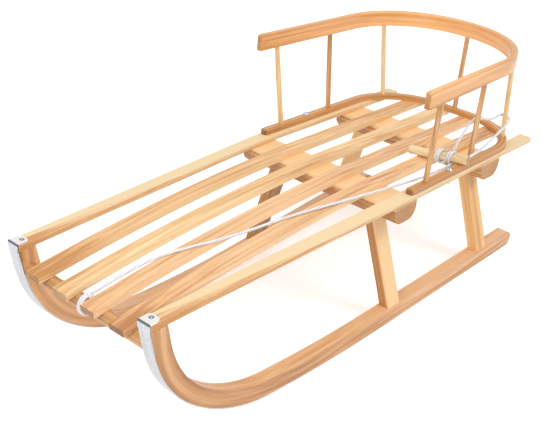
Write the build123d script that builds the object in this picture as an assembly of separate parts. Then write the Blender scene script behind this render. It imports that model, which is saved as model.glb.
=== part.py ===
from build123d import *
from math import cos, pi, radians, tan
import os

os.makedirs("parts", exist_ok=True)

# A wooden sled: two bent runners, four splayed posts, two bolsters, six seat slats
# and a bolted-on child's backrest. +X points to the front, +Y to the left, +Z up.
# Lengths called "aft" are measured rearwards from the tips of the outer slats, and
# heights called "up" are measured from the top of the outer slats.

# Seat: slats laid straight over the bolsters and bent down from the front one
tip_x = 517.85
tip_height = 276.0
seat_slope = 1.83
seat_bend = 1.9
bend_radius = 1700.0
plan_taper = 2.09
plan_bend_radius = 3000.0
half_width_front = 159.0
slat_thickness = 11.0
outer_width = 26.0
outer_aft_end = 1034.0
inner_width = 30.0
inner_pitch_front = 63.0
inner_pitch_back = 65.5
inner_front_overhang = 6.0
inner_end_overhang = 2.0
inner_drop = 30.0
inner_spring_aft = 269.0
inner_spring_share = 0.8455
near_lane = 0.5
far_lane = 1.5

# Runners and their steel shoes
shoe_thickness = 2.0
shoe_width = 24.0
shoe_tab_length = 24.0
shoe_tab_round = 8.0
shoe_aft_end = 955.0
runner_thickness = 30.0
runner_aft_end = 986.0
runner_toe_aft = 21.0
runner_toe_rise = 0.52174
runner_knee_corner = (158.5, 26.0)
runner_sole_aft = 415.0
runner_tip_reach = 1.2
runner_toe_share = 0.448
runner_knee_share = 0.5215
runner_sole_share = 0.4895
runner_end_round = 13.0

# Bolsters and posts
bolster_height = 36.0
bolster_length_x = 66.0
bolster_half_span = 178.0
bolster_edge_round = 22.0
bolster_front_aft = 582.0
bolster_rear_aft = 874.0
post_length_x = 34.0
post_thickness = 20.0
post_splay = 17.4
post_inset = 2.0
tenon_length_x = 24.0
tenon_thickness = 12.0
tenon_depth = 18.0
mortise_fit = 0.15

# Front dowel
dowel_diameter = 24.0
dowel_aft = 21.0
dowel_tenon_diameter = 16.0
dowel_tenon_depth = 14.0

# Backrest
hoop_width = 17.0
hoop_height = 10.5
hoop_inset = 1.0
hoop_aft_front = 597.0
hoop_aft_back = 1024.0
hoop_corner_radius = 130.0
hoop_edge_chamfer = 2.0
rail_width = 12.5
rail_height = 30.0
rail_lift = 167.5
rail_aft_front = 582.0
rail_back_overhang = 1.0
rail_half_front = 187.0
rail_half_back = 169.0
rail_corner_radius = 172.0
rail_edge_chamfer = 2.2
rail_tip_round = 12.0
spindle_diameter = 10.0
spindle_tenon_diameter = 7.5
spindle_tenon_depth = 7.5
spindle_fit = 0.1
bolt_share = 0.1209
bolt_diameter = 6.0
bolt_head_diameter = 13.0
bolt_head_height = 4.0
bolt_head_chamfer = 2.4
bolt_nut_height = 5.0

# Where each spindle stands on the left, as a share of the hoop's and of the rail's length;
# the right side mirrors it
# name, share of hoop, share of rail
spindle_table = (
    ("front", 0.048, 0.047),
    ("middle", 0.187, 0.190),
    ("rear", 0.345, 0.332),
)

# Pull cord and its handle
cord_diameter = 5.0
cord_fit = 0.3
tie_length = 10.0
wrap_length = 10.0
handle_diameter = 17.0
handle_aft_inner = 760.0
handle_aft_outer = 769.0
handle_y_inner = 64.5
handle_y_outer = 185.0
wrap_y_middle = 128.0
wrap_y_outer = 152.0

slope_rate = tan(radians(seat_slope))
taper_rate = tan(radians(plan_taper))
bend_rate = tan(radians(seat_bend))
bend_aft = bolster_front_aft
inner_aft_end = outer_aft_end + inner_end_overhang
rail_aft_back = hoop_aft_back + rail_back_overhang
front_frame = Pos(tip_x, 0, tip_height) * Rot(0, -seat_slope, 0)
rear_frame = front_frame * Pos(-bend_aft, 0, 0) * Rot(0, -seat_bend, 0) * Pos(bend_aft, 0, 0)
side_plane = Plane(origin=(0, 0, 0), x_dir=(-1, 0, 0), z_dir=(0, 1, 0))
plan_plane = Plane(origin=(0, 0, 0), x_dir=(-1, 0, 0), z_dir=(0, 0, -1))
low = (Align.CENTER, Align.CENTER, Align.MIN)
high = (Align.CENTER, Align.CENTER, Align.MAX)
far_off = 2 * tip_x


def half_width(aft):
    """Half the seat's width: growing to the front bolster, even behind it."""
    return half_width_front + taper_rate * min(aft, bend_aft)


def fall(aft):
    """How far the seat behind its bend lies below the line of its front part."""
    return -bend_rate * max(aft - bend_aft, 0)


def inner_lane(lane, aft):
    """How far out the middle of an inner slat lies; lanes on the left count up from the middle."""
    return lane * (inner_pitch_front + (inner_pitch_back - inner_pitch_front) * aft / inner_aft_end)


def mirrored(shape):
    """The same shape on the sled's other side."""
    return mirror(shape, about=Plane.XZ)


def offset_route(points, distance):
    """The corners of a route moved to its left, each run kept parallel."""
    runs = [Vector(*b) - Vector(*a) for a, b in zip(points, points[1:])]
    sides = [Vector(-run.Y, run.X).normalized() for run in runs]
    moved = []
    for point, a, b in zip(points, sides[:1] + sides, sides + sides[-1:]):
        step = (a + b) * (distance / (1 + a.dot(b)))
        moved.append((point[0] + step.X, point[1] + step.Y))
    return moved


def corner_radius(a, b, c, tangent):
    """The bend radius at a route's corner whose arc starts a given distance before it."""
    return tangent / tan(radians((b - a).get_angle(c - b)) / 2)


def bent_line(points, radii):
    """Straight runs joined by tangent arcs, one radius for each inner corner."""
    return FilletPolyline(*points, radius=list(radii))


def bent_strip(points, radii, width):
    """A flat strip of even width to the left of a route that only turns left."""
    inside = offset_route(points, width)
    edges = bent_line(points, radii).edges() + bent_line(inside, [r - width for r in radii]).edges()
    edges += [Line(points[0], inside[0]).edge(), Line(points[-1], inside[-1]).edge()]
    return make_face(edges)


def bent_bow(route, bow_radius, width, height, edge_chamfer):
    """A bow bent in plan from bar of the given width and height, its tips rounded."""
    outside = offset_route(route, -width / 2)
    strip = bent_strip(outside, [bow_radius + width / 2] * 2, width)
    strip = fillet(strip.vertices().sort_by(Axis.X)[-4:], width / 3)
    bow = extrude(strip, amount=height)
    return chamfer(bow.edges().group_by(Axis.Z)[-1], edge_chamfer)


def both_arms(arm):
    """A bow's route in plan, from its left arm's front and rear corners."""
    left = [(-aft, y) for aft, y in arm]
    return left + [(x, -y) for x, y in reversed(left)]


def rod(start, end, diameter, spare=0.0):
    """A round rod between two points, made longer by a spare length at both ends."""
    run = end - start
    unit = run.normalized()
    base = Plane(origin=start - unit * spare, z_dir=unit)
    return base * Cylinder(diameter / 2, run.length + 2 * spare, align=low)


def board(route, radii):
    """A slat's side outline across the whole sled, bent along its top's route."""
    return extrude(side_plane * bent_strip(route, radii, slat_thickness), amount=far_off, both=True)


def column(plan):
    """Everything above and below an outline seen from above."""
    return extrude(plan_plane * plan, amount=far_off, both=True)


# Outer slats: boards over the bolsters, bent down to the runner tips
outer_top = [(outer_aft_end, fall(outer_aft_end)), (bend_aft, 0), (0, 0)]
outer_edge = [(aft, half_width(aft)) for aft in (outer_aft_end, bend_aft, 0)]
outer_plan = bent_strip(outer_edge, [plan_bend_radius], outer_width)
slat_outer_left = front_frame * (board(outer_top, [bend_radius]) & column(outer_plan))

# Everything above the undersides of the outer slats, used to trim what meets them
seat_line = [(far_off, fall(far_off)), (bend_aft, 0), (-far_off, 0)]
underside = bent_line(offset_route(seat_line, slat_thickness), [bend_radius - slat_thickness])
sky = Polyline(underside @ 0, (far_off, far_off), (-far_off, far_off), underside @ 1)
cover = underside.edges() + sky.edges()
above_seat = front_frame * extrude(side_plane * make_face(cover), amount=far_off, both=True)

# Runners: one bent strip each, set under the outer slat's outer edge
left_side = Pos(tip_x, half_width_front, 0) * Rot(0, 0, -plan_taper)
toe_height = runner_toe_rise * tip_height
tip_rise = tip_height - slat_thickness - toe_height
runner_route = [
    ((1 - runner_tip_reach) * runner_toe_aft, toe_height + runner_tip_reach * tip_rise),
    (runner_toe_aft, toe_height),
    runner_knee_corner,
    (runner_sole_aft, shoe_thickness),
    (runner_aft_end, shoe_thickness),
]
corners = [Vector(*corner) for corner in runner_route]
toe_run = (corners[2] - corners[1]).length
sole_run = (corners[3] - corners[2]).length
tangents = (runner_toe_share * toe_run, runner_knee_share * toe_run, runner_sole_share * sole_run)
runner_bends = zip(corners, corners[1:], corners[2:], tangents)
runner_radii = [corner_radius(*bend) for bend in runner_bends]
runner_side = bent_strip(runner_route, runner_radii, runner_thickness)
runner_side = fillet(runner_side.vertices().group_by(Axis.X)[-1], runner_end_round)
runner_left = left_side * extrude(side_plane * runner_side, amount=-outer_width) - above_seat

# Steel shoes: a thin strip under the runner, up its front and over the outer slat's end
shoe_route = offset_route(runner_route, -shoe_thickness)
shoe_route[-1] = (shoe_aft_end, 0.0)
shoe_side = bent_strip(shoe_route, [r + shoe_thickness for r in runner_radii], shoe_thickness)
shoe_strip = Pos(0, (shoe_width - outer_width) / 2, 0) * extrude(side_plane * shoe_side, amount=-shoe_width)
shoe_y = half_width_front - outer_width / 2
shoe_front = Pos(shoe_thickness / 2, shoe_y, -slat_thickness) * Box(
    shoe_thickness, shoe_width, slat_thickness + shoe_thickness, align=low
)
shoe_tab = Pos(shoe_thickness - shoe_tab_length / 2, shoe_y, 0) * Box(
    shoe_tab_length, shoe_width, shoe_thickness, align=low
)
shoe_tab = fillet(shoe_tab.edges().filter_by(Axis.Z).group_by(Axis.X)[0], shoe_tab_round)
shoe_left = left_side * shoe_strip - above_seat + front_frame * (shoe_front + shoe_tab)

# Bolsters: boards with rounded lower edges across the sled, trimmed to the slats
bolsters = []
for aft, bend_share in ((bolster_front_aft, 0.5), (bolster_rear_aft, 1.0)):
    tilt = seat_slope + bend_share * seat_bend
    rise = tip_height - slope_rate * aft + fall(aft) - slat_thickness - bolster_height
    blank = Box(bolster_length_x, 2 * bolster_half_span, bolster_height + slat_thickness, align=low)
    lower_edges = blank.edges().filter_by(Axis.Y).group_by(Axis.Z)[0]
    blank = Pos(tip_x - aft, 0, rise) * Rot(0, -tilt, 0) * fillet(lower_edges, bolster_edge_round)
    bolsters.append(blank - above_seat)

# Posts: splayed legs, tenoned into the runner below and the bolster above
runner_top = shoe_thickness + runner_thickness
below_posts = Pos(0, 0, runner_top) * Box(2 * far_off, far_off, far_off, align=high)
posts_left = []
for i, aft in enumerate((bolster_front_aft, bolster_rear_aft)):
    half_foot = post_thickness / 2 / cos(radians(post_splay))
    foot_y = half_width_front + taper_rate * aft - post_inset - half_foot
    rise = tip_height - slope_rate * aft + fall(aft) - slat_thickness - bolster_height - runner_top
    reach = rise / cos(radians(post_splay))
    middle = Pos(tip_x - aft, foot_y, runner_top) * Rot(post_splay, 0, 0) * Pos(0, 0, reach / 2)
    leg = middle * Box(post_length_x, post_thickness, reach + tenon_depth) - below_posts - bolsters[i]
    tenon_reach = reach + 2 * tenon_depth
    tenon = middle * Box(tenon_length_x, tenon_thickness, tenon_reach)
    spare = 2 * mortise_fit
    mortise = middle * Box(tenon_length_x + spare, tenon_thickness + spare, tenon_reach + spare)
    posts_left.append(leg + tenon)
    runner_left = runner_left - mortise
    bolsters[i] = bolsters[i] - mortise - mirrored(mortise)

# Inner slats: on the bolsters like the outer ones, then sprung down onto the front dowel
spring_rate = inner_drop / (inner_spring_aft + inner_front_overhang)
inner_top = [(inner_aft_end, fall(inner_aft_end)), (bend_aft, 0), (inner_spring_aft, 0)]
inner_top += [(-inner_front_overhang, -inner_drop)]
spring_corners = [Vector(*corner) for corner in inner_top[-3:]]
spring_runs = [(b - a).length for a, b in zip(spring_corners, spring_corners[1:])]
inner_spring_radius = corner_radius(*spring_corners, inner_spring_share * min(spring_runs))
inner_board = board(inner_top, [bend_radius, inner_spring_radius])
inner_slats = {}
for name, lane in (("a", far_lane), ("b", near_lane), ("c", -near_lane), ("d", -far_lane)):
    ends = [(aft, inner_lane(lane, aft)) for aft in (inner_aft_end, -inner_front_overhang)]
    outline = offset_route(ends, -inner_width / 2) + offset_route(ends, inner_width / 2)[::-1]
    plan = make_face(Polyline(*outline, close=True).edges())
    inner_slats["slat_inner_" + name] = front_frame * (inner_board & column(plan))

# Front dowel: round bar between the runner tips that carries the inner slats
dowel_line = offset_route(inner_top[-2:], slat_thickness + dowel_diameter / 2)
dowel_up = dowel_line[0][1] - spring_rate * (dowel_line[0][0] - dowel_aft)
dowel_half = half_width(dowel_aft) - outer_width
dowel_end = Vector(0, dowel_half + dowel_tenon_depth, 0)
dowel_middle = Vector(-dowel_aft, 0, dowel_up)
dowel_left = dowel_middle + dowel_end
dowel_right = dowel_middle - dowel_end
dowel_bar = front_frame * rod(dowel_right, dowel_left, dowel_diameter)
dowel_pin = front_frame * rod(dowel_right, dowel_left, dowel_tenon_diameter)
dowel_bore = front_frame * rod(dowel_right, dowel_left, dowel_tenon_diameter + 2 * mortise_fit, mortise_fit)
tip_block = left_side * Box(far_off, outer_width, far_off, align=(Align.CENTER, Align.MAX, Align.CENTER))
front_dowel = dowel_bar - tip_block - mirrored(tip_block) + dowel_pin
runner_left = runner_left - dowel_bore

# Backrest: a low hoop on the slats and a tall thin rail above it, bent to much the same plan
arm_y = half_width(bend_aft) - hoop_inset - hoop_width / 2
hoop_route = both_arms([(hoop_aft_front, arm_y), (hoop_aft_back, arm_y)])
rail_route = both_arms([(rail_aft_front, rail_half_front), (rail_aft_back, rail_half_back)])
hoop_line = bent_line(hoop_route, [hoop_corner_radius] * 2)
rail_line = bent_line(rail_route, [rail_corner_radius] * 2)
hoop = bent_bow(hoop_route, hoop_corner_radius, hoop_width, hoop_height, hoop_edge_chamfer)
rail = bent_bow(rail_route, rail_corner_radius, rail_width, rail_height, rail_edge_chamfer)
rail_side = Pos(rail_aft_front + far_off / 2, rail_height / 2) * Rectangle(far_off, rail_height)
rail_side = fillet(rail_side.vertices().group_by(Axis.X)[0].sort_by(Axis.Y)[-1:], rail_tip_round)
rail = rail & extrude(side_plane * rail_side, amount=far_off, both=True)
rail = Pos(0, 0, rail_lift) * rail

# Spindles: round sticks with a thinner tenon at both ends, between the hoop and the rail
between = Pos(-bolster_rear_aft, 0, hoop_height) * Box(
    far_off, far_off, rail_lift - hoop_height, align=low
)
stations = [("spindle_left_" + name, a, b) for name, a, b in spindle_table]
stations += [("spindle_back", 0.5, 0.5)]
stations += [("spindle_right_" + name, 1 - a, 1 - b) for name, a, b in spindle_table]
spindles = {}
for name, hoop_share, rail_share in stations:
    foot = hoop_line @ hoop_share + Vector(0, 0, hoop_height)
    head = rail_line @ rail_share + Vector(0, 0, rail_lift)
    stick = rod(foot, head, spindle_diameter, spindle_diameter) & between
    tenon = rod(foot, head, spindle_tenon_diameter, spindle_tenon_depth)
    hole = rod(foot, head, spindle_tenon_diameter + 2 * spindle_fit, spindle_tenon_depth + spindle_fit)
    spindles[name] = rear_frame * (stick + tenon)
    hoop = hoop - hole
    rail = rail - hole

# Bolts that hold the backrest down, through the hoop and the outer slat
bolt_spot = Pos(*(hoop_line @ bolt_share))
bolt_shank = Pos(0, 0, -slat_thickness - bolt_nut_height) * Cylinder(
    bolt_diameter / 2, slat_thickness + hoop_height + bolt_nut_height, align=low
)
bolt_head = Pos(0, 0, hoop_height) * Cylinder(bolt_head_diameter / 2, bolt_head_height, align=low)
bolt_head = chamfer(bolt_head.edges().group_by(Axis.Z)[-1], bolt_head_chamfer)
bolt_nut = Pos(0, 0, -slat_thickness) * extrude(RegularPolygon(bolt_diameter, 6), amount=-bolt_nut_height)
bolt_left = rear_frame * bolt_spot * (bolt_shank + bolt_head + bolt_nut)
bolt_hole = bolt_spot * Cylinder(bolt_diameter / 2 + mortise_fit, far_off)
hoop = rear_frame * (hoop - bolt_hole - mirrored(bolt_hole))
rail = rear_frame * rail
slat_outer_left = slat_outer_left - rear_frame * bolt_hole

# Handle of the pull cord, lying across an inner slat and the hoop's left arm
slat_edge_y = inner_lane(far_lane, handle_aft_inner) - inner_width / 2
hoop_edge_y = arm_y - hoop_width / 2
handle_rise = hoop_height / (hoop_edge_y - slat_edge_y)
handle_clear = (handle_diameter / 2 + cord_fit) * (1 + handle_rise ** 2) ** 0.5


def on_handle(y):
    """The point of the handle's axis that lies a given distance to the left."""
    share = (y - handle_y_inner) / (handle_y_outer - handle_y_inner)
    aft = handle_aft_inner + (handle_aft_outer - handle_aft_inner) * share
    return Vector(-aft, y, handle_clear + handle_rise * (y - slat_edge_y))


def cord_sleeve(start, end, core_diameter):
    """A few turns of cord round a rod, as one sleeve between two points of its axis."""
    bore = core_diameter + 2 * cord_fit
    return rod(start, end, bore + 2 * cord_diameter) - rod(start, end, bore, cord_diameter)


def limp_radii(points):
    """A bend radius for each inner corner, 0.45 of the shorter run over the half turn."""
    radii = []
    for a, b, c in zip(points, points[1:], points[2:]):
        radii.append(corner_radius(a, b, c, 0.45 * min((b - a).length, (c - b).length)))
    return radii


def cord_tube(route):
    """A round cord along a route, with bends as large as its runs allow."""
    radii = limp_radii(route)
    line = bent_line(route, radii)
    tube = sweep(Plane(origin=line @ 0, z_dir=line % 0) * Circle(cord_diameter / 2), path=line)
    even_volume = line.length * pi * cord_diameter ** 2 / 4
    print("cord", round(line.length, 1), "mm, bends", [round(r) for r in radii])
    print("volume over section times length", round(tube.volume / even_volume, 4))
    return tube


def on_seat(aft, y, up):
    """A place above the seat, before or behind its bend."""
    frame = front_frame if aft < bend_aft else rear_frame
    return (frame * Pos(-aft, y, up)).position


# Route of the pull cord from the front dowel over the slats to the handle
# aft, y, up
pull_table = (
    (34, 1, -33), (88, 4, -23.5), (140, 13, -13), (195, 31, -8.5), (250, 54, -5),
    (310, 70, -1.5), (370, 81, 0.8), (430, 98, 2.9), (495, 115.5, 4), (555, 130, 4.5),
    (615, 143, 5), (662, 150, 5), (703, 153.5, 5.5), (731, 155, 6.4), (755.3, 155.5, 6.6),
)
# Route of the cord's loop from the handle round the rear two left spindles and back
loop_table = (
    (767, 152, 33), (771, 155.5, 50), (779, 160, 68), (787, 163.5, 84), (799, 166, 93),
    (820, 164.5, 89), (862, 158, 74), (904, 149.5, 62), (932, 145.5, 58.5), (948, 142, 57),
    (957.7, 140, 55.5), (967.3, 144.2, 53), (968.8, 153.9, 50), (958.5, 161.5, 47), (934, 165, 43),
    (890, 170, 36.5), (846, 176, 31), (812, 180.5, 28.5), (790, 180.5, 27.5), (778.2, 178, 23),
)
pull_cord = cord_tube([on_seat(*row) for row in pull_table])
cord_loop = cord_tube([on_seat(*row) for row in loop_table])
handle = rear_frame * rod(on_handle(handle_y_inner), on_handle(handle_y_outer), handle_diameter)
tie_step = Vector(0, tie_length / 2, 0)
cord_tie = front_frame * cord_sleeve(dowel_middle - tie_step, dowel_middle + tie_step, dowel_diameter)
wraps = {"cord_tie": cord_tie}
for name, y in (("cord_wrap_handle", wrap_y_middle), ("cord_wrap_end", wrap_y_outer)):
    ends = [on_handle(y - wrap_length / 2), on_handle(y + wrap_length / 2)]
    wraps[name] = rear_frame * cord_sleeve(*ends, handle_diameter)

# Write one file for each piece
pieces = {"front_dowel": front_dowel, "backrest_hoop": hoop, "backrest_rail": rail}
pieces.update({"bolster_front": bolsters[0], "bolster_rear": bolsters[1]})
pieces.update({"pull_cord": pull_cord, "cord_loop": cord_loop, "pull_handle": handle})
pieces.update(inner_slats)
pieces.update(spindles)
pieces.update(wraps)
pairs = {"runner": runner_left, "shoe": shoe_left, "slat_outer": slat_outer_left}
pairs.update({"backrest_bolt": bolt_left, "post_front": posts_left[0], "post_rear": posts_left[1]})
for name, shape in pairs.items():
    pieces[name + "_left"] = shape
    pieces[name + "_right"] = mirrored(shape)
for name, shape in pieces.items():
    export_step(shape, "parts/" + name + ".step")
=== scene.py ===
"""Dresses a packed wooden sled: varnished beech, zinc-plated steel, braided cord and a white studio."""

import logging
import math
from collections.abc import Sequence
from dataclasses import dataclass
from enum import Enum
from typing import Any

import bmesh
import bpy
from mathutils import Matrix, Vector

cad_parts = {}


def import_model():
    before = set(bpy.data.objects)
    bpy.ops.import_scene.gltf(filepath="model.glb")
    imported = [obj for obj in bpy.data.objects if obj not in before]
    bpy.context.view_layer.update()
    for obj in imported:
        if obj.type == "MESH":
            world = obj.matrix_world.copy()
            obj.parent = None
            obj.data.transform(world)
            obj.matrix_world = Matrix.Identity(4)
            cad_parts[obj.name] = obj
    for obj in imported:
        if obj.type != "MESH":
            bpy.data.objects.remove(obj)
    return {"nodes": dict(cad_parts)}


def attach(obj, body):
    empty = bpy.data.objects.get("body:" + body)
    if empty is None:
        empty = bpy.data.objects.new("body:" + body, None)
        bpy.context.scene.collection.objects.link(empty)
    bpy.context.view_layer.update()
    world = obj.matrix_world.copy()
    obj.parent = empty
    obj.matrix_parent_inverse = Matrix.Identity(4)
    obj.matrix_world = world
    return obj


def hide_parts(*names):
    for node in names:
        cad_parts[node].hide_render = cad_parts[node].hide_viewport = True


LOG = logging.getLogger("sled")
MM = 0.001
BODY = "root"
WHITE = (1.0, 1.0, 1.0, 1.0)

Node = bpy.types.Node
Nodes = dict[str, bpy.types.Object]
Pieces = list[bpy.types.Object]
Socket = bpy.types.NodeSocket
Span = tuple[float, float]
Tree = bpy.types.NodeTree
Triple = tuple[float, float, float]
Feed = float | Sequence[float] | Node | Socket


def linear(code: str) -> tuple[float, float, float, float]:
    """Turn an sRGB hex colour into linear light.

    Args:
        code: six hex digits after a hash.

    Returns:
        Red, green, blue and an alpha of one.
    """
    parts = [int(code[i : i + 2], 16) / 255 for i in (1, 3, 5)]
    red, green, blue = [c / 12.92 if c <= 0.04045 else ((c + 0.055) / 1.055) ** 2.4 for c in parts]
    return red, green, blue, 1.0


def add(
    tree: Tree, kind: str, *values: Feed, stops: Sequence[tuple[float, str]] = (), **options: Any
) -> Node:
    """Add a shader node with its settings, values and links.

    Args:
        tree: the node tree to add to.
        kind: the node's type without "ShaderNode", and after a space its operation, if it has one.
        values: values, sockets or nodes for its first inputs, in order. A node stands for the first of
            its outputs in use.
        stops: a colour ramp's places, from 0 to 1, with their hex colours.
        options: settings and further inputs by name. An input has a capital, and "_" for a space.

    Returns:
        The new node.
    """
    name, _, operation = kind.partition(" ")
    node = tree.nodes.new("ShaderNode" + name)
    settings = {key: value for key, value in options.items() if key[0].islower()}
    if operation:
        settings["operation"] = operation
    for key, value in settings.items():
        setattr(node, key, value)
    feeds = list(zip([socket for socket in node.inputs if socket.enabled], values))
    feeds += [(node.inputs[key.replace("_", " ")], options[key]) for key in options if key not in settings]
    for socket, value in feeds:
        if isinstance(value, Node):
            value = next(output for output in value.outputs if output.enabled)
        if isinstance(value, Socket):
            tree.links.new(value, socket)
        else:
            socket.default_value = value
    for _ in stops[2:]:
        node.color_ramp.elements.new(0.5)
    for i, (place, code) in enumerate(stops):
        node.color_ramp.elements[i].position = place
        node.color_ramp.elements[i].color = linear(code)
    return node


def new_material(name: str) -> tuple[bpy.types.Material, Tree]:
    """Make a material with an empty node tree.

    Args:
        name: the material's name.

    Returns:
        The material and its node tree.
    """
    material = bpy.data.materials.new(name)
    material.use_nodes = True
    material.node_tree.nodes.clear()
    return material, material.node_tree


@dataclass(frozen=True)
class BrokenEdge:
    """How sharp edges are broken, as sandpaper or rolling does."""

    # Points closer than this are joined first, and edges from this many degrees up are broken
    weld_mm: float = 0.01
    sharp_from: float = 38.0
    steps: int = 3

    def build(self, piece: bpy.types.Object, width_mm: float) -> None:
        """Break a piece's edges.

        Args:
            piece: the piece.
            width_mm: how wide the broken edge is.
        """
        weld = piece.modifiers.new("joined_skin", "WELD")
        weld.merge_threshold = self.weld_mm * MM
        bevel = piece.modifiers.new("broken_edges", "BEVEL")
        bevel.width = width_mm * MM
        bevel.segments = self.steps
        bevel.limit_method = "ANGLE"
        bevel.angle_limit = math.radians(self.sharp_from)
        bevel.harden_normals = True


def wear(
    piece: bpy.types.Object, material: bpy.types.Material, edge_mm: float = 0.0
) -> bpy.types.Object:
    """Give a piece one material all over.

    Args:
        piece: the piece.
        material: its finish.
        edge_mm: how wide its broken edges are, or 0 to leave them as they are.

    Returns:
        The piece.
    """
    piece.data.materials.clear()
    piece.data.materials.append(material)
    if edge_mm:
        BrokenEdge().build(piece, edge_mm)
    return piece


@dataclass(frozen=True)
class SeatPlan:
    """Where things lie on the sled, measured rearwards from the slat tips and up from the slats.

    Lengths are in mm and angles in degrees. The taper is how much the half width grows per length.
    """

    tip_x: float = 517.85
    tip_height: float = 276.0
    slope: float = 1.83
    bend: float = 1.9
    bend_aft: float = 582.0
    half_width: float = 159.0
    taper: float = 0.0365
    outer_width: float = 26.0
    post_splay: float = 17.4
    # How far a post's outer face would be from the middle at the ground, if its lean ran on to there
    post_face: float = 188.27

    def front(self) -> Matrix:
        """The frame of the seat before its bend, in mm."""
        origin = Vector((self.tip_x, 0, self.tip_height))
        return Matrix.Translation(origin) @ Matrix.Rotation(-math.radians(self.slope), 4, "Y")

    def rear(self) -> Matrix:
        """Turn the seat's frame at its bend.

        Returns:
            The frame of the seat behind its bend, in mm.
        """
        pivot = Matrix.Translation((self.bend_aft, 0, 0))
        turn = Matrix.Rotation(-math.radians(self.bend), 4, "Y")
        return self.front() @ pivot.inverted() @ turn @ pivot

    def place(self, aft: float, y: float, up: float) -> Vector:
        """A place on the seat.

        Args:
            aft: distance behind the slat tips.
            y: distance to the left.
            up: height above the outer slats.

        Returns:
            The point in the part's frame, in metres.
        """
        frame = self.front() if aft < self.bend_aft else self.rear()
        return frame @ Vector((-aft, y, up)) * MM


PLAN = SeatPlan()


class Axis(Enum):
    """An axis of the part, by its number."""

    X = 0
    Y = 1
    Z = 2


class Grain(Enum):
    """Which way the fibres of a piece of wood run."""

    LENGTHWAYS = "along the sled"
    CROSSWAYS = "across the sled"
    UPRIGHT = "upwards"
    SPLAYED = "up a splayed post"
    HOOP = "round the backrest's hoop"
    RAIL = "round the backrest's rail"
    RUNNER = "along a runner and up its toe"


@dataclass(frozen=True)
class Bow:
    """The plan of a bent bow in the rear seat's frame, in mm."""

    front: float
    back: float
    half: float
    radius: float
    taper: float = 0.0
    # How far behind the front its rounded cut end has faded out, and still shows in full
    end: Span = (10.0, 8.0)


HOOP_BOW = Bow(front=597.0, back=1024.0, half=170.7, radius=130.0)
RAIL_BOW = Bow(front=582.0, back=1025.0, half=169.0, radius=172.0, taper=0.0406)


@dataclass(frozen=True)
class RunnerCurve:
    """The outer curve of a runner's toe as a squarish ellipse, in mm."""

    centre_aft: float = 430.0
    centre_height: float = 262.0
    power: float = 2.4


# The share of a face's normal along an axis at which it starts to count as facing that way, and fully does
SAWN_END = (0.75, 0.95)
ROUNDED_END = (0.45, 0.8)
# How far a face must look along an axis for its painted light to start, and to be full
PAINTED_LIGHT_FACING = (0.6, 0.85)


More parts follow.
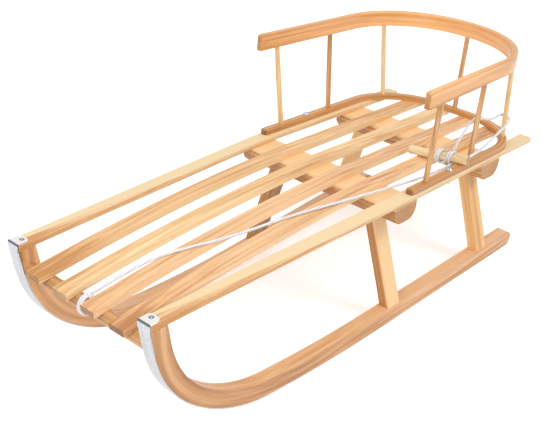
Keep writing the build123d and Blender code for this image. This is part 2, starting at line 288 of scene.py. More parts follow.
class GrainField:
    """Turns a place in the part into a place along, across and through the fibres."""

    def __init__(self, tree: Tree) -> None:
        """Keep the tree and its place in the part."""
        self.tree = tree
        self.spot = add(tree, "TexCoord").outputs["Object"]

    def local(self, frame: Matrix) -> Sequence[Socket]:
        """The place in the part, seen from a frame of the seat.

        Args:
            frame: the frame, in mm.

        Returns:
            The place's three numbers, in metres.
        """
        origin = frame.translation * MM
        turn = frame.to_euler()
        seen = add(
            self.tree, "Mapping", Vector=self.spot, Location=origin, Rotation=turn, vector_type="TEXTURE"
        )
        return add(self.tree, "SeparateXYZ", seen).outputs

    def facing(self, axis: Axis, span: Span) -> Node:
        """One where a face looks along an axis, either way.

        Args:
            axis: the axis.
            span: the normal's share of the axis at which it starts, and at which it is full.

        Returns:
            The share, from 0 to 1.
        """
        normal = add(self.tree, "NewGeometry").outputs["True Normal"]
        share = add(self.tree, "SeparateXYZ", normal).outputs[axis.value]
        return add(self.tree, "MapRange", add(self.tree, "Math ABSOLUTE", share), *span)

    def cut_end(self, grain: Grain) -> Node | None:
        """One where a face cuts across the fibres, so that its end grain shows.

        Args:
            grain: which way the fibres run.

        Returns:
            The share of end grain, or nothing for a piece whose ends are hidden.
        """
        bow = {Grain.HOOP: HOOP_BOW, Grain.RAIL: RAIL_BOW}.get(grain)
        if bow:
            x = self.local(PLAN.rear())[0]
            near = add(self.tree, "MapRange", x, *(-(bow.front + depth) * MM for depth in bow.end))
            return add(self.tree, "Math MULTIPLY", near, self.facing(Axis.X, ROUNDED_END))
        axis = {Grain.LENGTHWAYS: Axis.X, Grain.CROSSWAYS: Axis.Y, Grain.UPRIGHT: Axis.Z}.get(grain)
        return None if axis is None else self.facing(axis, SAWN_END)

    def round_bow(self, bow: Bow) -> Node:
        """Follow a bow: arms, corners and back are one run of fibre.

        Args:
            bow: the bow's plan.

        Returns:
            The place along, across and through the fibres.
        """
        tree = self.tree
        x, y, z = self.local(PLAN.rear())
        aft = add(tree, "Math MULTIPLY", x, -1.0)
        behind = add(tree, "Math SUBTRACT", aft, bow.back * MM)
        side = add(tree, "Math MULTIPLY_ADD", behind, bow.taper, add(tree, "Math ABSOLUTE", y))
        squares = []
        for place, reach in ((aft, bow.back), (side, bow.half)):
            past = add(tree, "Math SUBTRACT", place, (reach - bow.radius) * MM)
            squares.append(add(tree, "Math POWER", add(tree, "Math MAXIMUM", past, 0.0), 2.0))
        across = add(tree, "Math SQRT", add(tree, "Math ADD", *squares))
        return add(tree, "CombineXYZ", add(tree, "Math ADD", x, y), across, z)

    def round_toe(self, curve: RunnerCurve) -> Node:
        """Follow a runner: along the sole and up round the toe.

        Args:
            curve: the toe's curve.

        Returns:
            The place along, across and through the fibres.
        """
        tree = self.tree
        x, y, z = add(tree, "SeparateXYZ", self.spot).outputs
        ahead = add(tree, "Math ADD", x, (curve.centre_aft - PLAN.tip_x) * MM)
        below = add(tree, "Math SUBTRACT", curve.centre_height * MM, z)
        powers = []
        for gap, reach in ((ahead, curve.centre_aft), (below, curve.centre_height)):
            share = add(tree, "Math DIVIDE", add(tree, "Math MAXIMUM", gap, 0.0), reach * MM)
            powers.append(add(tree, "Math POWER", share, curve.power))
        ring = add(tree, "Math POWER", add(tree, "Math ADD", *powers), 1 / curve.power)
        across = add(tree, "Math MULTIPLY", ring, curve.centre_height * MM)
        return add(tree, "CombineXYZ", add(tree, "Math SUBTRACT", x, z), across, y)

    def place(self, grain: Grain) -> Node:
        """The place in the fibres for a way of the grain.

        Args:
            grain: which way the fibres run.

        Returns:
            The place along, across and through the fibres, in metres.
        """
        if grain is Grain.HOOP:
            return self.round_bow(HOOP_BOW)
        if grain is Grain.RAIL:
            return self.round_bow(RAIL_BOW)
        if grain is Grain.RUNNER:
            return self.round_toe(RunnerCurve())
        x, y, z = add(self.tree, "SeparateXYZ", self.spot).outputs
        if grain is Grain.SPLAYED:
            lean = math.tan(math.radians(PLAN.post_splay))
            side = add(self.tree, "Math MULTIPLY_ADD", z, lean, add(self.tree, "Math ABSOLUTE", y))
            return add(self.tree, "CombineXYZ", z, side, x)
        order = {Grain.LENGTHWAYS: (x, y, z), Grain.CROSSWAYS: (y, x, z), Grain.UPRIGHT: (z, y, x)}
        return add(self.tree, "CombineXYZ", *order[grain])


@dataclass(frozen=True)
class SapwoodAndPaintedLight:
    """Where pale sapwood meets brown heartwood in a board, and where a bolster's painted-light top gives
    way to painted shade below, in mm.
    """

    # Outwards from a post's outer face, and upwards from the slats' tops in a bolster, which is painted
    # light above and painted shade below
    post: Span = (-4.0, -2.0)
    bolster: Span = (-18.0, -13.0)
    # In from an outer slat's edge: the border, its wave, and its sweep over a stretch behind the tips
    slat: Span = (7.0, 9.0)
    wave: float = 14.0
    sweep: Span = (14.0, -4.0)
    sweep_aft: Span = (30.0, 400.0)

    def share(self, field: GrainField, grain: Grain, wave: Node) -> Node:
        """One in the sapwood and nought in the heartwood; in a bolster, one in its painted-light top and
        nought in the painted shade below.

        Args:
            field: the piece's grain.
            grain: which way its fibres run: a post, a bolster or an outer slat.
            wave: slow variation that makes an outer slat's border wavy.

        Returns:
            The share of sapwood, and of a bolster's painted-light top, from 0 to 1.
        """
        tree = field.tree
        if grain is Grain.SPLAYED:
            across = add(tree, "SeparateXYZ", field.place(grain)).outputs[1]
            return add(tree, "MapRange", across, *((PLAN.post_face + depth) * MM for depth in self.post))
        x, y, height = field.local(PLAN.front())
        height = add(tree, "Math MAXIMUM", height, field.local(PLAN.rear())[2])
        # A bolster's pale top is painted light between the slats, and the dark below it is painted shade
        if grain is Grain.CROSSWAYS:
            return add(tree, "MapRange", height, *(level * MM for level in self.bolster))
        aft = add(tree, "Math MINIMUM", add(tree, "Math MULTIPLY", x, -1.0), PLAN.bend_aft * MM)
        half = add(tree, "Math MULTIPLY_ADD", aft, PLAN.taper, PLAN.half_width * MM)
        left_edge = add(tree, "Math SUBTRACT", half, y)
        right_edge = add(tree, "Math SUBTRACT", PLAN.outer_width * MM, add(tree, "Math ADD", half, y))
        inwards = add(tree, "Math MINIMUM", left_edge, add(tree, "Math ABSOLUTE", right_edge))
        sweep = add(tree, "MapRange", aft, *(end * MM for end in self.sweep_aft + self.sweep))
        border = add(tree, "Math SUBTRACT", add(tree, "Math ADD", inwards, height), sweep)
        border = add(tree, "Math MULTIPLY_ADD", wave, self.wave * MM, border)
        return add(tree, "MapRange", border, *(end * MM for end in self.slat))


@dataclass(frozen=True)
class Beech:
    """Planed, turned or bent beech: warm tan, faint growth rings, fine fibres and short dark flecks.

    Its tone goes from pale over tan to dark with its figure, which is the sum of those patterns.
    """

    name: str
    pale: str
    tan: str
    dark: str
    # Where along the figure each tone stands
    tones: Triple = (0.34, 0.56, 0.82)
    # Growth rings are 2 to 4 mm wide and fibres far finer; both are drawn wider to show in the render
    ring_mm: float = 9.0
    ring_stretch: float = 6.0
    fibre_mm: float = 4.5
    streak_mm: float = 380.0
    # Broad bands of tone along a board, as long as so many of their widths
    band_mm: float = 24.0
    band_stretch: float = 20.0
    # Beech flecks are about 0.3 mm wide; drawn at 1.2 mm so that they show in the render
    fleck_mm: float = 1.2
    fleck_length_mm: float = 9.0
    fleck_span: Span = (0.62, 0.74)
    # How much each pattern moves the figure, and its level without them
    streaks: float = 0.7
    rings: float = 0.11
    bands: float = 0.62
    flecks: float = 0.12
    level: float = 0.19
    # How much paler its sapwood and a bolster's painted-light top are, and how much darker it gets over a
    # stretch before the slat tips, in mm
    sap_and_painted_light: float = 0.0
    front_dark: float = 0.0
    front_stretch: Span = (-140.0, -30.0)
    # Painted light: faces that look along an axis, either way, are painted paler: the axis, and how much
    painted_light_axis: Axis | None = None
    painted_light_share: float = 0.2
    # End grain drinks more varnish and shows darker
    end: str = "#744926"
    end_share: float = 0.5
    # Clear varnish: its weight, its own roughness, and the wood's roughness from fibre to fibre
    coat: float = 0.12
    coat_roughness: float = 0.22
    gloss: Span = (0.42, 0.56)
    gloss_fibre: Span = (0.3, 0.7)
    specular: float = 0.35
    # Relief of the fibres, with the flecks sunk by so much of it
    relief: float = 0.25
    relief_mm: float = 0.25
    fleck_sink: float = 0.6
    # How far apart pieces with neighbouring seeds lie in the pattern, in metres
    own_step: Triple = (0.91, 0.043, 0.031)

    def material(self, grain: Grain, seed: float) -> bpy.types.Material:
        """Make the finish for one piece.

        Args:
            grain: which way its fibres run.
            seed: a number that gives each piece its own figure.

        Returns:
            The material.
        """
        material, tree = new_material(f"{self.name}_{grain.name.lower()}_{seed:g}")
        field = GrainField(tree)
        place = add(tree, "VectorMath ADD", field.place(grain), [step * seed for step in self.own_step])

        def stretched(along_mm: float, across_mm: float) -> Node:
            """The place in the fibres, scaled to features of a given length and width."""
            scale = (1 / (along_mm * MM), 1 / (across_mm * MM), 1 / (across_mm * MM))
            return add(tree, "VectorMath MULTIPLY", place, scale)

        fibre_place = stretched(self.streak_mm, self.fibre_mm)
        fibre = add(tree, "TexNoise", Vector=fibre_place, Scale=1.0, Detail=5.0)
        band_place = stretched(self.band_stretch * self.band_mm, self.band_mm)
        band = add(tree, "TexNoise", Vector=band_place, Scale=1.0, Detail=1.5)
        fleck_place = stretched(self.fleck_length_mm, self.fleck_mm)
        fleck = add(tree, "TexNoise", Vector=fleck_place, Scale=1.0, Detail=1.0)
        dash = add(tree, "MapRange", fleck, *self.fleck_span)
        ring = add(
            tree,
            "TexWave",
            Vector=stretched(self.ring_stretch * self.ring_mm, self.ring_mm),
            # At 2 pi / 20 the texture draws one ring per unit
            Scale=0.314,
            Distortion=5.0,
            Detail=2.0,
            Detail_Scale=0.6,
            wave_type="RINGS",
            rings_direction="X",
        )
        # A noise is about 0.5 on the whole, so streaks leave the figure's level where it is
        figure = add(tree, "Math MULTIPLY_ADD", fibre, self.streaks, self.level - 0.5 * self.streaks)
        for pattern, share in ((ring.outputs["Fac"], self.rings), (band, self.bands), (dash, self.flecks)):
            figure = add(tree, "Math MULTIPLY_ADD", pattern, share, figure)
        # On a bolster this paleness is painted light on its top, with painted shade below
        if self.sap_and_painted_light:
            figure = add(tree, "Math MULTIPLY_ADD", SapwoodAndPaintedLight().share(field, grain, band), -self.sap_and_painted_light, figure)
        # Painted light: faces that look along the axis are made paler, as a lit top or side
        if self.painted_light_axis is not None:
            painted_light_faces = field.facing(self.painted_light_axis, PAINTED_LIGHT_FACING)
            figure = add(tree, "Math MULTIPLY_ADD", painted_light_faces, -self.painted_light_share, figure)
        if self.front_dark:
            start, end = self.front_stretch
            ahead = field.local(PLAN.front())[0]
            tip = add(tree, "MapRange", ahead, start * MM, end * MM, 0.0, self.front_dark)
            figure = add(tree, "Math ADD", figure, tip)
        stops = list(zip(self.tones, (self.pale, self.tan, self.dark)))
        colour = add(tree, "ValToRGB", figure, stops=stops)
        ends = field.cut_end(grain)
        if ends is not None:
            share = add(tree, "Math MULTIPLY", ends, self.end_share)
            colour = add(tree, "Mix", share, colour, linear(self.end), data_type="RGBA")
        height = add(tree, "Math MULTIPLY_ADD", dash, -self.fleck_sink, fibre)
        shader = add(
            tree,
            "BsdfPrincipled",
            Base_Color=colour,
            Roughness=add(tree, "MapRange", fibre, *self.gloss_fibre, *self.gloss),
            Normal=add(tree, "Bump", Strength=self.relief, Distance=self.relief_mm * MM, Height=height),
            Coat_Weight=self.coat,
            Coat_Roughness=self.coat_roughness,
            Specular_IOR_Level=self.specular,
        )
        add(tree, "OutputMaterial", shader)
        return material


@dataclass(frozen=True)
class ZincSteel:
    """Zinc-plated mild steel: bright, bluish, with rolling streaks and a faint spangle."""

    name: str
    light: str
    shade: str
    roughness: float = 0.36
    roughness_change: float = 0.1
    # Rolling leaves streaks of about 0.1 mm; drawn at 1.5 mm so that they show in the render
    streak_mm: float = 1.5
    streak_stretch: float = 40.0
    spangle_mm: float = 5.0
    streaks: float = 0.7
    spangles: float = 0.3
    tones: Span = (0.25, 0.6)
    relief: float = 0.1
    relief_mm: float = 0.05
    # Painted highlight on a folded tab, painted shade along its fold, and where each starts and is full by
    # the slat tips, in mm
    tab_painted_highlight: str = ""
    fold_painted_shade: str = ""
    tab_up: Span = (-1.4, -0.4)
    fold_painted_shade_ahead: Span = (-1.2, -0.2)

    def material(self) -> bpy.types.Material:
        """Make the finish.

        Returns:
            The material.
        """
        material, tree = new_material(self.name)
        field = GrainField(tree)
        x, y, z = add(tree, "SeparateXYZ", field.spot).outputs
        length = self.streak_stretch * self.streak_mm * MM
        along = add(tree, "Math DIVIDE", add(tree, "Math SUBTRACT", x, z), length)
        across = add(tree, "Math DIVIDE", y, self.streak_mm * MM)
        streak_place = add(tree, "CombineXYZ", along, across, along)
        streak = add(tree, "TexNoise", Vector=streak_place, Scale=1.0, Detail=4.0)
        spangle = add(tree, "TexVoronoi", Vector=field.spot, Scale=1 / (self.spangle_mm * MM))
        streaked = add(tree, "Math MULTIPLY", streak, self.streaks)
        mixed = add(tree, "Math MULTIPLY_ADD", spangle, self.spangles, streaked)
        colour = add(tree, "ValToRGB", mixed, stops=list(zip(self.tones, (self.shade, self.light))))
        # The tab's upward face gets a painted highlight, and its fold a thin line of painted shade
        if self.tab_painted_highlight:
            ahead, _, up = field.local(PLAN.front())
            above = add(tree, "MapRange", up, *(end * MM for end in self.tab_up))
            colour = add(tree, "Mix", above, colour, linear(self.tab_painted_highlight), data_type="RGBA")
            front = add(tree, "MapRange", ahead, *(end * MM for end in self.fold_painted_shade_ahead))
            line = add(tree, "Math MULTIPLY", front, above)
            colour = add(tree, "Mix", line, colour, linear(self.fold_painted_shade), data_type="RGBA")
        low, high = self.roughness - self.roughness_change, self.roughness + self.roughness_change
        shader = add(
            tree,
            "BsdfPrincipled",
            Base_Color=colour,
            Roughness=add(tree, "MapRange", mixed, 0.0, 1.0, low, high),
            Normal=add(tree, "Bump", Strength=self.relief, Distance=self.relief_mm * MM, Height=streak),
            Metallic=1.0,
        )
        add(tree, "OutputMaterial", shader)
        return material


@dataclass(frozen=True)
class BraidedCord:
    """Braided polyester cord: off-white with grey-blue marker yarns and a soft sheen."""

    name: str
    white: str
    grey: str
    plait_mm: float = 6.0
    strands: float = 4.0
    # Where on its strand a marker yarn starts and is full, and how much of its tone shows
    marker: Span = (0.55, 0.9)
    marker_share: float = 0.8
    relief: float = 0.6
    relief_mm: float = 0.5
    roughness: float = 0.6
    sheen: float = 0.3

    def material(self, length_mm: float) -> bpy.types.Material:
        """Make the finish for a cord.

        Args:
            length_mm: the cord's length, which sets how often the plait repeats.

        Returns:
            The material.
        """
        material, tree = new_material(self.name)
        u, v, _ = add(tree, "SeparateXYZ", add(tree, "TexCoord").outputs["UV"]).outputs
        turns = add(tree, "Math MULTIPLY", u, length_mm / self.plait_mm)
        waves = []
        for way in (1.0, -1.0):
            phase = add(tree, "Math MULTIPLY_ADD", v, self.strands * way, turns)
            waves.append(add(tree, "Math SINE", add(tree, "Math MULTIPLY", phase, 2 * math.pi)))
        plait = add(tree, "Math MULTIPLY_ADD", add(tree, "Math MULTIPLY", *waves), 0.5, 0.5)
        marker = add(tree, "MapRange", waves[0], *self.marker, 0.0, self.marker_share)
        shader = add(
            tree,
            "BsdfPrincipled",
            Base_Color=add(tree, "ValToRGB", marker, stops=((0.0, self.white), (1.0, self.grey))),
            Normal=add(tree, "Bump", Strength=self.relief, Distance=self.relief_mm * MM, Height=plait),
            Roughness=self.roughness,
            Sheen_Weight=self.sheen,
        )
        add(tree, "OutputMaterial", shader)
        return material


# Planed sapwood under clear varnish: pale straw, with tan heartwood coming up at the edge and the tip
SLAT_SAP = Beech(
    "varnished_planed_beech_sapwood", "#EDD2A5", "#ECC18F", "#CC925A", sap_and_painted_light=0.42, front_dark=0.2
)
# Planed heartwood under clear varnish: warm streaks along the slat, and sides painted paler as painted
# light
SLAT_BROWN = Beech(
    "varnished_planed_beech_brown",
    "#F7D2A4",
    "#E7B583",
    "#BA804D",
    front_dark=0.2,
    end_share=0.8,
    painted_light_axis=Axis.Y,
)
# The same from a pinker board, with brown sawn ends
SLAT_PINK = Beech(
    "varnished_planed_beech_pink", "#FAD2A4", "#EABA88", "#C58B56", end_share=0.7, painted_light_axis=Axis.Y
)
# The same from a golden board, the lightest of the four
SLAT_GOLD = Beech(
    "varnished_planed_beech_gold", "#FADDAC", "#EEC48E", "#CD995F", front_dark=0.1, painted_light_axis=Axis.Y
)
# The same from a straw-brown board that darkens towards its tip
SLAT_STRAW = Beech(
    "varnished_planed_beech_straw", "#F3CE9D", "#E5B57F", "#C38A50", front_dark=0.2, painted_light_axis=Axis.Y
)
# A planed board with painted light on top, pale between the slats above, and below a smooth dark brown
# deepened by painted shade
BOLSTER_BEECH = Beech(
    "varnished_planed_beech_bolster",
    "#F6CE99",
    "#C08955",
    "#9D6737",
    sap_and_painted_light=0.5,
    end="#BA8653",
    end_share=0.75,
    streaks=0.3,
    band_mm=60.0,
)
# Turned heartwood: a middling brown, streaked along the rod
DOWEL_BEECH = Beech("varnished_turned_beech_dowel", "#DCB083", "#C99867", "#9F7047")
# Planed at the border of the sapwood: a pale outer face beside brown sides
POST_FRONT_BEECH = Beech(
    "varnished_planed_beech_two_tone_post",
    "#F8D19C",
    "#C99158",
    "#A9713F",
    sap_and_painted_light=0.42,
    streaks=0.3,
    band_mm=60.0,
)
# Planed beech, its brown deepened by painted shade for the far front post: smooth dark brown on every face
POST_PAINTED_SHADE_BEECH = Beech(
    "varnished_planed_beech_heartwood_post", "#CB9A62", "#B27E48", "#8C5C31", streaks=0.3, band_mm=60.0
)
# Planed pale wood: an even straw gold
POST_REAR_BEECH = Beech("varnished_planed_beech_pale_post", "#FFD89E", "#F8C789", "#D8A269")
# Steam-bent and varnished: long brown streaks that follow the bend, a top painted paler as painted light,
# and a soft gloss
RUNNER_BEECH = Beech(
    "varnished_steam_bent_beech",
    "#EDBC8D",
    "#D39A65",
    "#A26B3B",
    ring_mm=12.0,
    coat=0.35,
    streaks=0.55,
    flecks=0.09,
    painted_light_axis=Axis.Z,
)
# Bent and varnished: the most orange piece and the glossiest, with grain that runs round its corners and a
# painted highlight on its faces that look fore and aft
RAIL_BEECH = Beech(
    "varnished_bent_beech_rail", "#F9BD7E", "#E5A562", "#B7773D", coat=0.5, painted_light_axis=Axis.X, painted_light_share=0.1
)
# Bent and varnished: browner than the rail, with dark rounded ends
HOOP_BEECH = Beech("varnished_bent_beech_hoop", "#E2A867", "#C88B49", "#98602E", coat=0.4, end_share=0.7)
# Turned heartwood: thin brown rods with streaks along them
SPINDLE_BROWN = Beech("varnished_turned_beech_heartwood", "#E8BC8B", "#CD9967", "#A87446")
# Turned beech in pale cream: thin rods, their own pale tone on the right, and painted light on the brightly
# lit left rear spindle
SPINDLE_PALE = Beech("varnished_turned_beech_sapwood", "#FDEABF", "#F5D39F", "#D7AB76")
# Turned and left bare: chalky pale, with no gloss
HANDLE_BEECH = Beech("bare_turned_beech", "#FDEED0", "#F5DCB0", "#D9BA88", coat=0.0, gloss=(0.55, 0.7))
# Rolled strip, zinc plated: light grey with faint streaks, a painted highlight on its tab and a painted
# shade line along its fold
SHOE_ZINC = ZincSteel("zinc_plated_rolled_steel_strip", "#CBCDD0", "#ACB0B6", tab_painted_highlight="#EBE8E3", fold_painted_shade="#6A6E77")
# Pressed heads, zinc plated: small bright spots on the hoop
BOLT_ZINC = ZincSteel("zinc_plated_pressed_steel_bolt", "#C4C7CC", "#8E939C", roughness=0.3)
# Cut heads, zinc plated and dulled: small grey discs on the white tabs
SCREW_ZINC = ZincSteel("zinc_plated_cut_steel_screw", "#83868C", "#595D64", roughness=0.3)
# Braided from white and grey-blue yarns: off-white with a fine broken line of grey along it
ROPE_BRAID = BraidedCord("braided_polyester_cord", "#EFEEF1", "#A6AABC")


@dataclass(frozen=True)
class Board:
    """One piece of wood: its node, its finish, the way of its grain and the seed of its figure."""

    node: str
    wood: Beech
    grain: Grain
    seed: float

    def dress(self, nodes: Nodes, edge_mm: float = 0.0) -> bpy.types.Object:
        """Give the piece its finish.

        Args:
            nodes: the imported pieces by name.
            edge_mm: how wide its broken edges are, or 0 to leave them as they are.

        Returns:
            The piece.
        """
        return wear(nodes[self.node], self.wood.material(self.grain, self.seed), edge_mm)


@dataclass
class PhotoCamera:
    """The camera as the photograph was taken, placed from the ground below the slat tips."""

    place_mm: Triple = (731.314, 975.365, 1074.496)
    yaw: float = 219.78
    pitch: float = 29.54
    roll: float = -2.81
    focal_px: float = 994.09
    width_px: float = 550.0
    sensor_mm: float = 36.0

    def build(self) -> None:
        """Make the camera and set it as the scene's own."""
        yaw, pitch, roll = (math.radians(angle) for angle in (self.yaw, self.pitch, self.roll))
        flat = Vector((math.cos(yaw), math.sin(yaw), 0))
        ahead = flat * math.cos(pitch) - Vector((0, 0, math.sin(pitch)))
        right = ahead.cross(Vector((0, 0, 1))).normalized()
        down = ahead.cross(right)
        image_right = right * math.cos(roll) + down * math.sin(roll)
        image_down = down * math.cos(roll) - right * math.sin(roll)
        turn = Matrix((image_right, -image_down, -ahead)).transposed().to_4x4()
        place = Vector(self.place_mm) + Vector((PLAN.tip_x, 0, 0))
        data = bpy.data.cameras.new("photo_camera")
        data.sensor_width = self.sensor_mm
        data.lens = self.focal_px * self.sensor_mm / self.width_px
        camera = bpy.data.objects.new("photo_camera", data)
        camera.matrix_world = Matrix.Translation(place * MM) @ turn
        bpy.context.scene.collection.objects.link(camera)
        bpy.context.scene.camera = camera


@dataclass(frozen=True)
class SoftBox:
    """One large soft lamp, in metres and watts."""

    name: str
    place: Triple
    size: float
    watts: float
    aim: Triple = (0.0, 0.0, 0.2)

    def build(self) -> None:
        """Make the lamp and aim it at the sled."""
        data = bpy.data.lights.new(self.name, "AREA")
        data.shape = "DISK"
        data.size = self.size
        data.energy = self.watts
        lamp = bpy.data.objects.new(self.name, data)
        turn = (Vector(self.aim) - Vector(self.place)).to_track_quat("-Z", "Y")
        lamp.matrix_world = Matrix.Translation(self.place) @ turn.to_matrix().to_4x4()
        bpy.context.scene.collection.objects.link(lamp)


@dataclass
class Studio:
    """A white floor, a white surround and soft lamps, as for a catalogue picture. Lengths are in metres."""

    floor_half: float = 5.0
    floor_drop_mm: float = 0.2
    floor_colour: str = "#F1F1F1"
    floor_roughness: float = 0.9
    # The floor's own glow round the sled, and the radii between which it rises to white
    floor_glow: float = 0.42
    glow_rise: Span = (1.1, 2.2)
    surround: float = 0.54
    lamps: tuple[SoftBox, ...] = (
        SoftBox("key_lamp", (-0.7, 2.3, 2.6), 1.4, 33.0),
        SoftBox("front_lamp", (2.6, 0.7, 2.0), 2.0, 37.0),
        SoftBox("top_lamp", (0.0, -0.4, 3.4), 2.6, 21.5),
    )

    def build(self) -> None:
        """Make the floor, the surround and the lamps."""
        scene = bpy.context.scene
        scene.view_settings.view_transform = "Standard"
        mesh = bpy.data.meshes.new("studio_floor")
        half = self.floor_half
        corners = [(-half, -half, 0), (half, -half, 0), (half, half, 0), (-half, half, 0)]
        mesh.from_pydata(corners, [], [(0, 1, 2, 3)])
        floor = bpy.data.objects.new("studio_floor", mesh)
        floor.location.z = -self.floor_drop_mm * MM
        scene.collection.objects.link(floor)
        wear(floor, self.floor_paper())
        self.build_surround(scene)
        for lamp in self.lamps:
            lamp.build()

    def seen(self, tree: Tree) -> Node:
        """One for rays that show the backdrop, in plain view, in a reflection or through glass.

        Args:
            tree: the node tree to add to.

        Returns:
            One or nought.
        """
        path = add(tree, "LightPath").outputs
        plain = add(tree, "Math MAXIMUM", path["Is Camera Ray"], path["Is Glossy Ray"])
        return add(tree, "Math MAXIMUM", plain, path["Is Transmission Ray"])

    def floor_paper(self) -> bpy.types.Material:
        """Make matt white paper, which shows as white and still takes a shadow.

        Returns:
            The material.
        """
        material, tree = new_material("matt_white_paper")
        away = add(tree, "VectorMath LENGTH", add(tree, "TexCoord").outputs["Object"])
        white = add(tree, "MapRange", away, *self.glow_rise, self.floor_glow, 1.0)
        shader = add(
            tree,
            "BsdfPrincipled",
            Base_Color=linear(self.floor_colour),
            Roughness=self.floor_roughness,
            Emission_Color=WHITE,
            Emission_Strength=add(tree, "Math MULTIPLY", self.seen(tree), white),
        )
        add(tree, "OutputMaterial", shader)
        return material

    def build_surround(self, scene: bpy.types.Scene) -> None:
        """Make it white all round, at a lower strength where it only gives light.

        Args:
            scene: the scene that it surrounds.
        """
        world = bpy.data.worlds.new("white_surround")
        world.use_nodes = True
        tree = world.node_tree
        tree.nodes.clear()
        strength = add(tree, "MapRange", self.seen(tree), 0.0, 1.0, self.surround, 1.0)
        add(tree, "OutputWorld", add(tree, "Background", WHITE, strength))
        scene.world = world


@dataclass
class Undercarriage:
    """Runners with steel shoes, posts, bolsters and the front dowel."""

    edge_mm: float = 2.0
    shoe_edge_mm: float = 0.5
    shoes: tuple[str, ...] = ("shoe_left", "shoe_right")
    boards: tuple[Board, ...] = (
        Board("runner_left", RUNNER_BEECH, Grain.RUNNER, 1.0),
        Board("runner_right", RUNNER_BEECH, Grain.RUNNER, 2.0),
        Board("post_front_left", POST_FRONT_BEECH, Grain.SPLAYED, 3.0),
        Board("post_rear_left", POST_REAR_BEECH, Grain.SPLAYED, 4.0),
        # The far front post stands in shade, so its finish carries painted shade
        Board("post_front_right", POST_PAINTED_SHADE_BEECH, Grain.SPLAYED, 5.0),
        Board("post_rear_right", POST_REAR_BEECH, Grain.SPLAYED, 6.0),
        Board("bolster_front", BOLSTER_BEECH, Grain.CROSSWAYS, 8.0),
        Board("bolster_rear", BOLSTER_BEECH, Grain.CROSSWAYS, 9.0),
    )
    dowel: Board = Board("front_dowel", DOWEL_BEECH, Grain.CROSSWAYS, 10.0)

    def dress(self, nodes: Nodes) -> Pieces:
        """Give each piece its finish.

        Args:
            nodes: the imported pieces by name.

        Returns:
            The pieces.
        """
        zinc = SHOE_ZINC.material()
        pieces = [wear(nodes[name], zinc, self.shoe_edge_mm) for name in self.shoes]
        pieces += [board.dress(nodes, self.edge_mm) for board in self.boards]
        return pieces + [self.dowel.dress(nodes)]


@dataclass
class Seat:
    """Two pale outer slats and four browner inner ones, each sawn from a board of its own tone."""

    edge_mm: float = 1.8
    slats: tuple[Board, ...] = (
        Board("slat_outer_left", SLAT_SAP, Grain.LENGTHWAYS, 12.0),
        Board("slat_outer_right", SLAT_SAP, Grain.LENGTHWAYS, 13.0),
        Board("slat_inner_a", SLAT_BROWN, Grain.LENGTHWAYS, 15.0),
        Board("slat_inner_b", SLAT_PINK, Grain.LENGTHWAYS, 16.0),
        Board("slat_inner_c", SLAT_GOLD, Grain.LENGTHWAYS, 17.0),
        Board("slat_inner_d", SLAT_STRAW, Grain.LENGTHWAYS, 18.0),
    )

    def dress(self, nodes: Nodes) -> Pieces:
        """Give each slat its finish."""
        return [slat.dress(nodes, self.edge_mm) for slat in self.slats]


@dataclass
class Backrest:
    """The hoop, the rail, seven spindles and two bolts."""

    bolts: tuple[str, ...] = ("backrest_bolt_left", "backrest_bolt_right")
    boards: tuple[Board, ...] = (
        Board("backrest_hoop", HOOP_BEECH, Grain.HOOP, 21.0),
        Board("backrest_rail", RAIL_BEECH, Grain.RAIL, 22.0),
        Board("spindle_left_front", SPINDLE_BROWN, Grain.UPRIGHT, 23.0),
        Board("spindle_left_middle", SPINDLE_BROWN, Grain.UPRIGHT, 24.0),
        # This spindle's pale finish is painted light, where the light falls full on it
        Board("spindle_left_rear", SPINDLE_PALE, Grain.UPRIGHT, 25.0),
        Board("spindle_back", SPINDLE_BROWN, Grain.UPRIGHT, 26.0),
        Board("spindle_right_rear", SPINDLE_PALE, Grain.UPRIGHT, 27.0),
        Board("spindle_right_middle", SPINDLE_BROWN, Grain.UPRIGHT, 28.0),
        Board("spindle_right_front", SPINDLE_PALE, Grain.UPRIGHT, 29.0),
    )

    def dress(self, nodes: Nodes) -> Pieces:
        """Give each piece its finish.

        Args:
            nodes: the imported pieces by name.

        Returns:
            The pieces.
        """
        pieces = [board.dress(nodes) for board in self.boards]
        zinc = BOLT_ZINC.material()
        return pieces + [wear(nodes[name], zinc) for name in self.bolts]


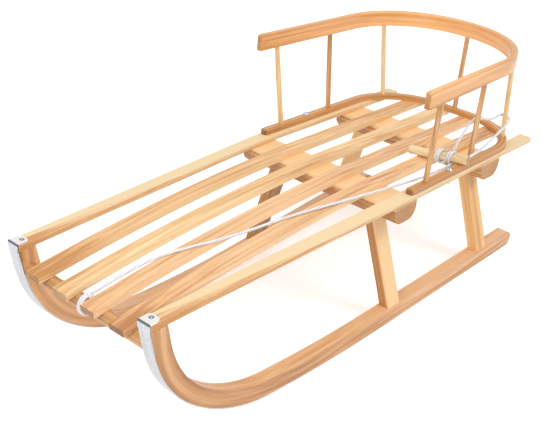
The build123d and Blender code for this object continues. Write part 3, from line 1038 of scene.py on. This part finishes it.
@dataclass
class TabScrews:
    """A countersunk cross-head wood screw through each shoe's tab, in mm."""

    aft: float = 14.5
    y: float = 144.5
    tab_top: float = 2.0
    head_radius: float = 4.2
    dome: float = 0.9
    sunk: float = 0.3
    cross_half: float = 0.75
    cross_reach: float = 2.6
    cross_depth: float = 1.4
    # How far a wall of the cross leans, and how much shallower the cross is at its reach
    cross_lean: float = 0.25
    cross_rise: float = 0.5
    rings: int = 14
    spokes: int = 64
    # side, which way along Y, how far the cross is turned in degrees
    places: tuple[tuple[str, int, float], ...] = (("left", 1, 20.0), ("right", -1, 65.0))

    def height(self, x: float, y: float) -> float:
        """How high the head stands at a place, its cross recess cut in.

        Args:
            x: place along one arm of the cross.
            y: place along the other arm.

        Returns:
            The height above the tab.
        """
        radius = math.hypot(x, y)
        top = self.dome * (1 - (radius / self.head_radius) ** 2)
        near, far = sorted((abs(x), abs(y)))
        inside = min(self.cross_half - near, self.cross_reach - far)
        cut = min(max(inside / self.cross_lean + 0.5, 0.0), 1.0)
        return top - cut * self.cross_depth * (1 - self.cross_rise * radius / self.cross_reach)

    def head(self) -> bpy.types.Mesh:
        """Make a head about its own middle.

        Returns:
            The mesh, in metres.
        """
        shape = bmesh.new()
        middle = shape.verts.new((0, 0, self.height(0, 0)))
        angles = [2 * math.pi * spoke / self.spokes for spoke in range(self.spokes)]
        loops = []
        for ring in range(1, self.rings + 1):
            radius = self.head_radius * ring / self.rings
            spots = [(radius * math.cos(angle), radius * math.sin(angle)) for angle in angles]
            loops.append([shape.verts.new((x, y, self.height(x, y))) for x, y in spots])
        loops.append([shape.verts.new((rim.co.x, rim.co.y, -self.sunk)) for rim in loops[-1]])
        for spoke in range(self.spokes):
            after = (spoke + 1) % self.spokes
            shape.faces.new((middle, loops[0][spoke], loops[0][after]))
            for inner, outer in zip(loops, loops[1:]):
                shape.faces.new((inner[spoke], outer[spoke], outer[after], inner[after]))
        shape.faces.new(list(reversed(loops[-1])))
        mesh = bpy.data.meshes.new("tab_screw")
        shape.to_mesh(mesh)
        shape.free()
        mesh.transform(Matrix.Scale(MM, 4))
        return mesh

    def build(self) -> Pieces:
        """Set a screw in each tab.

        Returns:
            The screws.
        """
        finish = SCREW_ZINC.material()
        screws = []
        for side, way, turn in self.places:
            screw = bpy.data.objects.new(f"tab_screw_{side}", self.head())
            spin = Matrix.Rotation(math.radians(turn), 4, "Z")
            tilt = Matrix.Rotation(-math.radians(PLAN.slope), 4, "Y")
            spot = PLAN.place(self.aft, way * self.y, self.tab_top)
            screw.matrix_world = Matrix.Translation(spot) @ tilt @ spin
            bpy.context.scene.collection.objects.link(screw)
            screws.append(wear(screw, finish))
            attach(screw, BODY)
        return screws


@dataclass(frozen=True)
class Winding:
    """Turns of cord round a rod, in the frame of the seat, in mm and degrees."""

    start: Triple
    run: Triple
    radius: float
    first: float
    turns: float
    per_turn: int = 16

    def points(self) -> list[Vector]:
        """Go round the rod, a little outside the turns so that the curve has the real radius.

        Returns:
            The turns' control points, in metres.
        """
        count = round(abs(self.turns) * self.per_turn)
        reach = self.radius / math.cos(math.pi / self.per_turn)
        made = []
        for i in range(count + 1):
            share = i / count
            angle = math.radians(self.first + 360 * self.turns * share)
            aft, y, up = (start + run * share for start, run in zip(self.start, self.run))
            made.append(PLAN.place(aft + reach * math.cos(angle), y, up + reach * math.sin(angle)))
        return made


@dataclass
class Cordage:
    """The pull cord, its loop round the spindles and its wooden handle.

    Lengths are in metres, and the diameter, the routes and the handle's edges in mm.
    """

    diameter: float = 5.0
    pull_length: float = 1.247
    loop_length: float = 0.45
    steps_per_point: int = 6
    round_steps: int = 3
    handle: Board = Board("pull_handle", HANDLE_BEECH, Grain.CROSSWAYS, 31.0)
    handle_edge: float = 1.2
    tie: Winding = Winding((21.0, 6.0, -49.95), (0.0, -10.0, 0.0), 14.8, 810.0, -2.0)
    # aft, y, up
    pull_route: tuple[Triple, ...] = (
        (34, 1, -33), (88, 4, -23.5), (140, 13, -13), (195, 31, -8.5), (250, 54, -5),
        (310, 70, -1.5), (370, 81, 0.8), (430, 98, 2.9), (495, 115.5, 4), (555, 130, 4.5),
        (615, 143, 5), (662, 150, 5), (703, 153.5, 5.5), (731, 155, 6.4), (755.3, 155.5, 6.6),
    )
    end_wrap: Winding = Winding((766.8, 155.5, 18.5), (-0.66, -8.75, -1.15), 11.3, 270.0, 1.75)
    # aft, y, up
    between: tuple[Triple, ...] = ((754.6, 144, 9), (757, 138, 4.6))
    middle_wrap: Winding = Winding((765.1, 132.8, 15.5), (-0.73, -9.8, -1.29), 11.3, 270.0, 2.0)
    # aft, y, up
    loop_route: tuple[Triple, ...] = (
        (767, 152, 33), (771, 155.5, 50), (779, 160, 68), (787, 163.5, 84), (799, 166, 93),
        (820, 164.5, 89), (862, 158, 74), (904, 149.5, 62), (932, 145.5, 58.5), (948, 142, 57),
        (957.7, 140, 55.5), (967.3, 144.2, 53), (968.8, 153.9, 50), (958.5, 161.5, 47), (934, 165, 43),
        (890, 170, 36.5), (846, 176, 31), (812, 180.5, 28.5), (790, 180.5, 27.5), (778.2, 178, 23),
    )

    def lay(self, name: str, points: Sequence[Vector]) -> bpy.types.Object:
        """Lay a cord along control points.

        Args:
            name: the piece's name.
            points: control points in metres.

        Returns:
            The cord.
        """
        curve = bpy.data.curves.new(name, "CURVE")
        curve.dimensions = "3D"
        spline = curve.splines.new("NURBS")
        spline.points.add(len(points) - 1)
        for knot, spot in zip(spline.points, points):
            knot.co = (*spot, 1.0)
            # The curve's box grows by its points' radius, so that is the cord's and the bevel depth is one
            knot.radius = self.diameter / 2 * MM
        spline.order_u = 3
        spline.use_endpoint_u = True
        curve.resolution_u = self.steps_per_point
        curve.bevel_depth = 1.0
        curve.bevel_resolution = self.round_steps
        curve.use_fill_caps = True
        cord = bpy.data.objects.new(name, curve)
        bpy.context.scene.collection.objects.link(cord)
        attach(cord, BODY)
        return cord

    def build(self, nodes: Nodes) -> Pieces:
        """Lay both cords in place of their plain tubes, and dress the handle.

        Args:
            nodes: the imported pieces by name.

        Returns:
            The cords and the handle.
        """
        handle = self.handle.dress(nodes, self.handle_edge)
        points = self.tie.points()
        points += [PLAN.place(*row) for row in self.pull_route]
        points += self.end_wrap.points()
        points += [PLAN.place(*row) for row in self.between]
        points += self.middle_wrap.points()
        pull = self.lay("laid_pull_cord", points)
        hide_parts("pull_cord", "cord_tie", "cord_wrap_end", "cord_wrap_handle")
        loop_points = [PLAN.place(*row) for row in self.loop_route]
        loop = self.lay("laid_cord_loop", loop_points)
        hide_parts("cord_loop")
        for cord, length in ((pull, self.pull_length), (loop, self.loop_length)):
            wear(cord, ROPE_BRAID.material(length / MM))
        return [pull, loop, handle]


def main() -> None:
    """Build the scene, sub-assembly by sub-assembly, and report each piece."""
    logging.basicConfig(level=logging.INFO, format="%(name)s: %(message)s")
    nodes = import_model()["nodes"]
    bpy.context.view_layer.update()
    PhotoCamera().build()
    pieces = Cordage().build(nodes)
    Studio().build()
    pieces += Undercarriage().dress(nodes)
    pieces += Seat().dress(nodes)
    pieces += Backrest().dress(nodes)
    pieces += TabScrews().build()
    for piece in pieces:
        LOG.info("%s in %s", piece.name, piece.data.materials[0].name)


if __name__ == "__main__":
    main()
